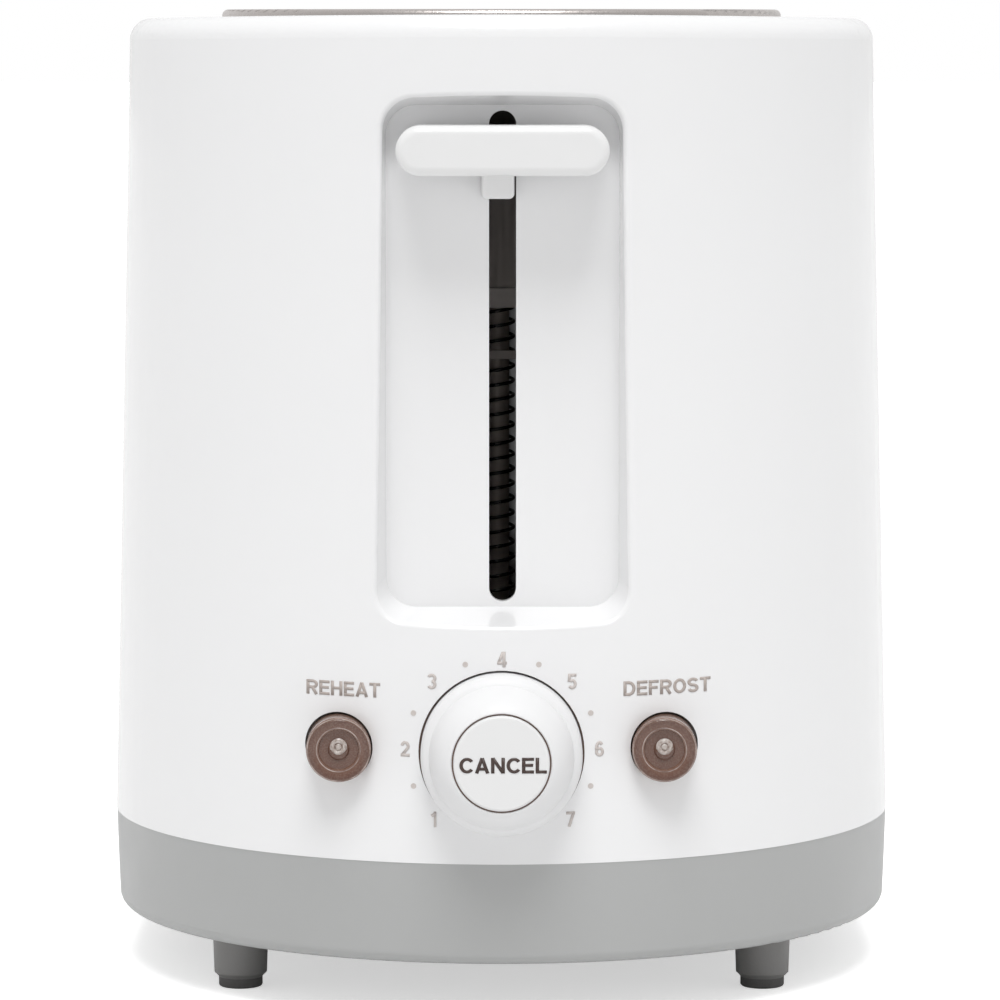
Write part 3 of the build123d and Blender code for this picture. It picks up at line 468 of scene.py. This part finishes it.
probe = gapShadeRings["probeAt"]
depths = [shellBehind(*side) for side in ((probe, 0), (-probe, 0), (0, probe), (0, -probe))]
print("shell behind the dial's front by", [round(depth, 2) for depth in depths])
wellFront = max(depths) + gapShadeRings["wellDepth"]
capLow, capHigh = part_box("cancel_button")
capRadius = (capHigh.x - capLow.x) * 500 + gapShadeRings["capGap"]
spunPiece("capGapShade", tubeOutline(capRadius, gapShadeRings["outer"], gapShadeRings["front"], gapShadeRings["back"]),
          dialFront, gapShade, "dial")
spunPiece("wellGapShade",
          tubeOutline(gapShadeRings["wellInner"], gapShadeRings["wellOuter"], wellFront, gapShadeRings["wellBack"]),
          dialFront, gapShade, "housing")

# moulded rings on each brown button, in millimetres from its middle line and front; their pale finishes are
# painted highlights
lensRings = {
    "Pip": {"finish": lensPipHighlight, "rise": 0.0006,
            "outline": [(0, 0.14), (0.45, 0.06), (0.72, 0.3), (0.95, 0.05), (1.3, 0.03), (1.68, 0.4),
                        (1.6, 0.6), (0, 0.5)]},
    "Ring": {"finish": lensTrimHighlight, "rise": 0,
             "outline": [(4.15, 0.5), (4.22, 0.25), (4.36, 0.22), (4.46, 0.34), (4.35, 0.5)]},
    "Rim": {"finish": lensTrimHighlight, "rise": 0,
            "outline": [(5.98, 0.14), (6.1, 0.08), (6.22, 0.2), (6.2, 0.35), (6.1, 0.3)]}}
for use in ("reheat", "defrost"):
    lensLow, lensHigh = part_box(use + "_button")
    lensX = (lensLow.x + lensHigh.x) / 2
    lensZ = lensHigh.z - (lensHigh.x - lensLow.x) / 2
    for part, look in lensRings.items():
        spunPiece(use + part, look["outline"], (lensX, lensLow.y, lensZ + look["rise"]),
                  look["finish"], use, 64)
print("dial and button rings spun")


inkPale = printedInk("inkPale", (0.58, 0.53, 0.505))
inkWord = printedInk("inkWord", (0.44, 0.385, 0.355))
inkDark = printedInk("inkDark", (0.058, 0.036, 0.03))
printing = {"digitHeight": 0.00305, "digitRadius": 0.0189, "dotRadius": 0.0187, "dotSize": 0.0011,
            "wordHeight": 0.0030, "wordZ": 0.06542, "inkThickness": 0.00005, "stroke": 0.19, "gap": 0.09,
            "shift": 0.0001, "rise": 0.0006, "layerStep": 0.000006, "lift": 0.00002, "startAhead": 0.02,
            "widths": {"E": 0.66, "F": 0.62, "L": 0.62, "T": 0.68, "H": 0.74, "N": 0.76, "A": 0.8,
                       "D": 0.75, "R": 0.74, "O": 0.82, "C": 0.76, "S": 0.7, "1": 0.36, "2": 0.58,
                       "3": 0.58, "4": 0.62, "5": 0.58, "6": 0.58, "7": 0.56}}
nib = bpy.data.objects.new("nib", bpy.data.curves.new("nib", "CURVE"))
nibLine = nib.data.splines.new("POLY")
nibLine.points.add(1)
nibLine.points[0].co = (-printing["stroke"] / 2, 0, 0, 1)
nibLine.points[1].co = (printing["stroke"] / 2, 0, 0, 1)
dialMiddle = middle("browning_dial")
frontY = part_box("body_shell")[0].y


def layPrint(piece, target, body, ink, layer=0):
    # the flat print is pressed onto the surface behind it and given its ink's thickness
    wrap = piece.modifiers.new("wrap", "SHRINKWRAP")
    wrap.target = nodes[target]
    wrap.wrap_method = "PROJECT"
    wrap.use_project_y = True
    wrap.use_positive_direction = True
    wrap.use_negative_direction = False
    wrap.offset = printing["lift"] + layer * printing["layerStep"]
    applyModifier(piece, wrap)
    skin = piece.modifiers.new("skin", "SOLIDIFY")
    skin.thickness = printing["inkThickness"]
    skin.offset = 1
    applyModifier(piece, skin)
    bpy.ops.object.mode_set(mode="EDIT")
    bpy.ops.mesh.select_all(action="SELECT")
    bpy.ops.mesh.normals_make_consistent(inside=False)
    bpy.ops.object.mode_set(mode="OBJECT")
    piece.data.materials.clear()
    piece.data.materials.append(ink)
    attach(piece, body)


def bow(x, z, wide, high, start, end):
    # points along part of an ellipse, from one angle to another
    steps = max(6, round(abs(end - start) / 12))
    turns = [math.radians(start + (end - start) * step / steps) for step in range(steps + 1)]
    return [(x + wide * math.cos(turn), z + high * math.sin(turn)) for turn in turns]


def strokesOf(sign):
    # middle lines of a plain bold letter's strokes; the letter is one unit high
    w, b = printing["widths"][sign], printing["stroke"] / 2
    left, right, low, high, mid = b, w - b, b, 1 - b, w / 2
    stem, farStem = [(left, 0), (left, 1)], [(right, 0), (right, 1)]
    topBar, lowBar = [(0, high), (w, high)], [(0, low), (w, low)]
    loop, reach = (0.5 - b) / 2, mid - b
    return {
        "E": [stem, topBar, lowBar, [(0, 0.52), (w * 0.93, 0.52)]],
        "F": [stem, topBar, [(0, 0.5), (w * 0.9, 0.5)]],
        "L": [stem, lowBar],
        "T": [topBar, [(mid, 0), (mid, 1)]],
        "H": [stem, farStem, [(left, 0.52), (right, 0.52)]],
        "N": [stem, farStem, [(left, 0.98), (right, 0.02)]],
        "A": [[(left, 0), (mid, 0.98)], [(right, 0), (mid, 0.98)], [(w * 0.22, 0.28), (w * 0.78, 0.28)]],
        "D": [stem, [(left, high), *bow(w * 0.42, 0.5, right - w * 0.42, 0.5 - b, 90, -90), (left, low)]],
        "R": [stem, [(left, high), *bow(w * 0.55, 0.695, right - w * 0.55, high - 0.695, 90, -90),
                     (left, 0.695 * 2 - high)], [(w * 0.52, 0.47), (right, 0)]],
        "O": [bow(mid, 0.5, reach, 0.5 - b, 0, 360)],
        "C": [bow(mid + 0.04, 0.5, reach + 0.04, 0.5 - b, 38, 322)],
        "S": [bow(mid, 0.5 + loop, reach, loop, 20, 270), bow(mid, 0.5 - loop, reach, loop, 90, -160)],
        "1": [[(right, 0), (right, 1)], [(right, 0.88), (0, 0.7)]],
        "2": [[*bow(mid, high - 0.24, reach, 0.24, 170, -25), (left, low)], lowBar],
        "3": [bow(mid, 0.5 + loop, reach, loop, 155, -90), bow(mid, 0.5 - loop, reach, loop, 90, -155)],
        "4": [[(w * 0.6, 0.97), (b, 0.3)], [(0, 0.27), (w, 0.27)], [(w * 0.7, 0), (w * 0.7, 1)]],
        "5": [[(left, high), (w * 0.96, high)], [(w * 0.2, 1), (w * 0.15, 0.48)],
              bow(mid, 0.33, reach, 0.33 - b, 135, -150)],
        "6": [bow(mid, 0.31, reach, 0.31 - b, 0, 360), bow(mid, 0.5, reach, 0.5 - b, 190, 40)],
        "7": [topBar, [(right, high), (w * 0.32, 0)]],
    }[sign]


def strokeLayer(name, text, layer):
    # one stroke of every letter as a flat mesh, so that crossing strokes lie in different layers
    lines = bpy.data.curves.new(name, "CURVE")
    lines.dimensions = "2D"
    start = 0
    for sign in text:
        for stroke in strokesOf(sign)[layer:layer + 1]:
            spline = lines.splines.new("POLY")
            spline.points.add(len(stroke) - 1)
            for point, (across, up) in zip(spline.points, stroke):
                point.co = (start + across, up, 0, 1)
        start += printing["widths"][sign] + printing["gap"]
    lines.bevel_mode = "OBJECT"
    lines.bevel_object = nib
    piece = bpy.data.objects.new(name, lines)
    bpy.context.scene.collection.objects.link(piece)
    piece.rotation_euler = (math.pi / 2, 0, 0)
    onlyActive(piece)
    bpy.ops.object.convert(target="MESH")
    piece = bpy.context.object
    applyPlace(piece)
    return piece


def printText(name, text, x, z, width, height, target, body, ink):
    count = max(len(strokesOf(sign)) for sign in text)
    layers = [strokeLayer(name + "Layer" + str(layer), text, layer) for layer in range(count)]
    corners = [vertex.co for piece in layers for vertex in piece.data.vertices]
    lowX, highX = min(c.x for c in corners), max(c.x for c in corners)
    lowZ, highZ = min(c.z for c in corners), max(c.z for c in corners)
    sizeX, sizeZ = width / (highX - lowX), height / (highZ - lowZ)
    for layer, piece in enumerate(layers):
        piece.scale = (sizeX, 1, sizeZ)
        piece.location = (
            x - sizeX * (lowX + highX) / 2, frontY - printing["startAhead"],
            z - sizeZ * (lowZ + highZ) / 2)
        applyPlace(piece)
        layPrint(piece, target, body, ink, layer)


def printDot(name, x, z):
    bpy.ops.mesh.primitive_circle_add(
        vertices=24, radius=printing["dotSize"] / 2, fill_type="NGON",
        location=(x, frontY - printing["startAhead"], z), rotation=(math.pi / 2, 0, 0))
    piece = bpy.context.object
    piece.name = name
    applyPlace(piece)
    layPrint(piece, "body_shell", "housing", inkPale)


def aroundDial(degrees, radius):
    angle = math.radians(degrees)
    rise = printing["rise"] * math.sin(angle) ** 2
    return (dialMiddle.x + printing["shift"] + radius * math.sin(angle),
            dialMiddle.z + radius * math.cos(angle) + rise)


digitShift = {"3": 0.0004, "4": -0.0005, "5": 0.0004, "6": 0.0001}
for number in range(1, 8):
    digit = str(number)
    x, z = aroundDial(45 * (number - 4), printing["digitRadius"] + digitShift.get(digit, 0))
    width = printing["widths"][digit] * printing["digitHeight"]
    printText("digit" + digit, digit, x, z, width, printing["digitHeight"], "body_shell", "housing",
              inkPale)
for index in range(6):
    x, z = aroundDial(45 * index - 112.5, printing["dotRadius"])
    printDot("dot" + str(index + 1), x, z)

words = {
    "wordReheat": {"text": "REHEAT", "x": -0.031, "z": printing["wordZ"], "width": 0.0146,
                   "height": printing["wordHeight"], "on": "body_shell", "body": "housing", "ink": inkWord},
    "wordDefrost": {"text": "DEFROST", "x": 0.03245, "z": printing["wordZ"] + 0.0003, "width": 0.0173,
                    "height": printing["wordHeight"], "on": "body_shell", "body": "housing", "ink": inkWord},
    "wordCancel": {"text": "CANCEL", "x": dialMiddle.x + 0.0003, "z": dialMiddle.z - 0.0003,
                   "width": 0.0168, "height": 0.0032, "on": "cancel_button", "body": "cancel",
                   "ink": inkDark},
}
for name, word in words.items():
    printText(name, word["text"], word["x"], word["z"], word["width"], word["height"], word["on"],
              word["body"], word["ink"])
bpy.data.objects.remove(nib)
print("lettering printed")


coils = {
    "liftCoil": {"node": "lift_spring", "joint": "lever_slide", "turns": 34, "radius": 0.0034,
                 "wire": 0.00035, "axis": "z", "travel": 0.076},
    "cancelCoil": {"node": "cancel_spring", "joint": "cancel_press", "turns": 3, "radius": 0.0042,
                   "wire": 0.00025, "axis": "y", "travel": 0.0015},
    "reheatCoil": {"node": "reheat_spring", "joint": "reheat_press", "turns": 5, "radius": 0.0056,
                   "wire": 0.00025, "axis": "y", "travel": 0.0015},
    "defrostCoil": {"node": "defrost_spring", "joint": "defrost_press", "turns": 5, "radius": 0.0056,
                    "wire": 0.00025, "axis": "y", "travel": 0.0015},
}


coilShape = {"sides": 8, "stepsPerTurn": 24}


def coilSpring(name, look):
    low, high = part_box(look["node"])
    center = (low + high) / 2
    upright = look["axis"] == "z"
    length = (high.z - low.z if upright else high.y - low.y) - 2 * look["wire"]
    bpy.ops.mesh.primitive_circle_add(
        vertices=coilShape["sides"], radius=look["wire"], location=(look["radius"], 0, 0),
        rotation=(math.pi / 2, 0, 0))
    piece = bpy.context.object
    piece.name = name
    applyPlace(piece)
    screwTurn = piece.modifiers.new("coil", "SCREW")
    screwTurn.axis = "Z"
    screwTurn.screw_offset = length / look["turns"]
    screwTurn.iterations = look["turns"]
    screwTurn.steps = coilShape["stepsPerTurn"]
    screwTurn.render_steps = coilShape["stepsPerTurn"]
    screwTurn.use_merge_vertices = False
    applyModifier(piece, screwTurn)
    onlyActive(piece)
    bpy.ops.object.mode_set(mode="EDIT")
    bpy.ops.mesh.select_all(action="SELECT")
    bpy.ops.mesh.remove_doubles(threshold=0.000001)
    bpy.ops.mesh.select_all(action="DESELECT")
    bpy.ops.mesh.select_non_manifold()
    bpy.ops.mesh.edge_face_add()
    bpy.ops.mesh.select_all(action="SELECT")
    bpy.ops.mesh.normals_make_consistent(inside=False)
    bpy.ops.object.mode_set(mode="OBJECT")
    if upright:
        piece.location = (center.x, center.y, low.z + look["wire"])
    else:
        piece.rotation_euler = (math.pi / 2, 0, 0)
        piece.location = (center.x, high.y - look["wire"], center.z)
    applyPlace(piece)
    bpy.ops.object.shade_smooth()
    piece.data.materials.clear()
    piece.data.materials.append(springSteel)
    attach(piece, "housing")
    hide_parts(look["node"])
    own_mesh(piece)


for name, look in coils.items():
    coilSpring(name, look)
print("springs coiled")


studio = {"floorSize": 30.0, "floorWhite": 0.86, "floorGlow": 0.55, "skyFront": 0.5, "skyBack": 0.85,
          "keyStrength": 1.95, "keyHeight": 66, "keySoftness": 30}


def studioFloor():
    bpy.ops.mesh.primitive_plane_add(size=studio["floorSize"], location=(0, 0, 0))
    floor = bpy.context.object
    floor.name = "studioFloor"
    bpy.ops.object.mode_set(mode="EDIT")
    bpy.ops.mesh.select_all(action="SELECT")
    bpy.ops.mesh.subdivide(number_cuts=12)
    bpy.ops.object.mode_set(mode="OBJECT")
    material, tree, shader, place = newMaterial("floorPaper")
    grain = noise(tree, place, 40, 4)
    white = studio["floorWhite"]
    tree.links.new(twoTone(tree, grain, (white - 0.01,) * 3, (white,) * 3), shader.inputs["Base Color"])
    setSockets(shader, {"Roughness": 0.9, "Specular IOR Level": 0.2})
    seen = tree.nodes.new("ShaderNodeLightPath")
    glow = spread(tree, seen.outputs["Is Camera Ray"], 0, studio["floorGlow"], 0, 1)
    tree.links.new(glow, shader.inputs["Emission Strength"])
    shader.inputs["Emission Color"].default_value = (1, 1, 1, 1)
    floor.data.materials.append(material)


def studioSky():
    world = bpy.data.worlds.new("studioSky")
    bpy.context.scene.world = world
    world.use_nodes = True
    tree = world.node_tree
    background = tree.nodes["Background"]
    coords = tree.nodes.new("ShaderNodeTexCoord")
    parts = tree.nodes.new("ShaderNodeSeparateXYZ")
    tree.links.new(coords.outputs["Generated"], parts.inputs["Vector"])
    tree.links.new(
        spread(tree, parts.outputs["Y"], studio["skyFront"], studio["skyBack"], -1.0, 1.0),
        background.inputs["Strength"])
    seen = tree.nodes.new("ShaderNodeLightPath")
    plain = tree.nodes.new("ShaderNodeBackground")
    pick = tree.nodes.new("ShaderNodeMixShader")
    tree.links.new(seen.outputs["Is Camera Ray"], pick.inputs["Fac"])
    tree.links.new(background.outputs["Background"], pick.inputs[1])
    tree.links.new(plain.outputs["Background"], pick.inputs[2])
    plain.inputs["Color"].default_value = (1, 1, 1, 1)
    background.inputs["Color"].default_value = (1, 1, 1, 1)
    tree.links.new(pick.outputs["Shader"], tree.nodes["World Output"].inputs["Surface"])


def softKey():
    # a wide, soft light high in front
    light = bpy.data.lights.new("softKey", "SUN")
    light.energy = studio["keyStrength"]
    light.angle = math.radians(studio["keySoftness"])
    key = bpy.data.objects.new("softKey", light)
    key.location = (0, -1.0, 2.0)
    key.rotation_euler = (math.radians(90 - studio["keyHeight"]), 0, 0)
    bpy.context.scene.collection.objects.link(key)


def studioCamera():
    view = {"place": (-0.0003, -1.09705, 0.1955), "pitch": 5.49, "lens": 179.35}
    data = bpy.data.cameras.new("photoCamera")
    data.lens = view["lens"]
    data.sensor_width = 36
    data.clip_end = 50
    camera = bpy.data.objects.new("photoCamera", data)
    camera.location = view["place"]
    camera.rotation_euler = (math.radians(90 - view["pitch"]), 0, 0)
    bpy.context.scene.collection.objects.link(camera)
    bpy.context.scene.camera = camera


studioFloor()
studioSky()
softKey()
studioCamera()
bpy.context.scene.view_settings.view_transform = "Standard"
print("studio set")
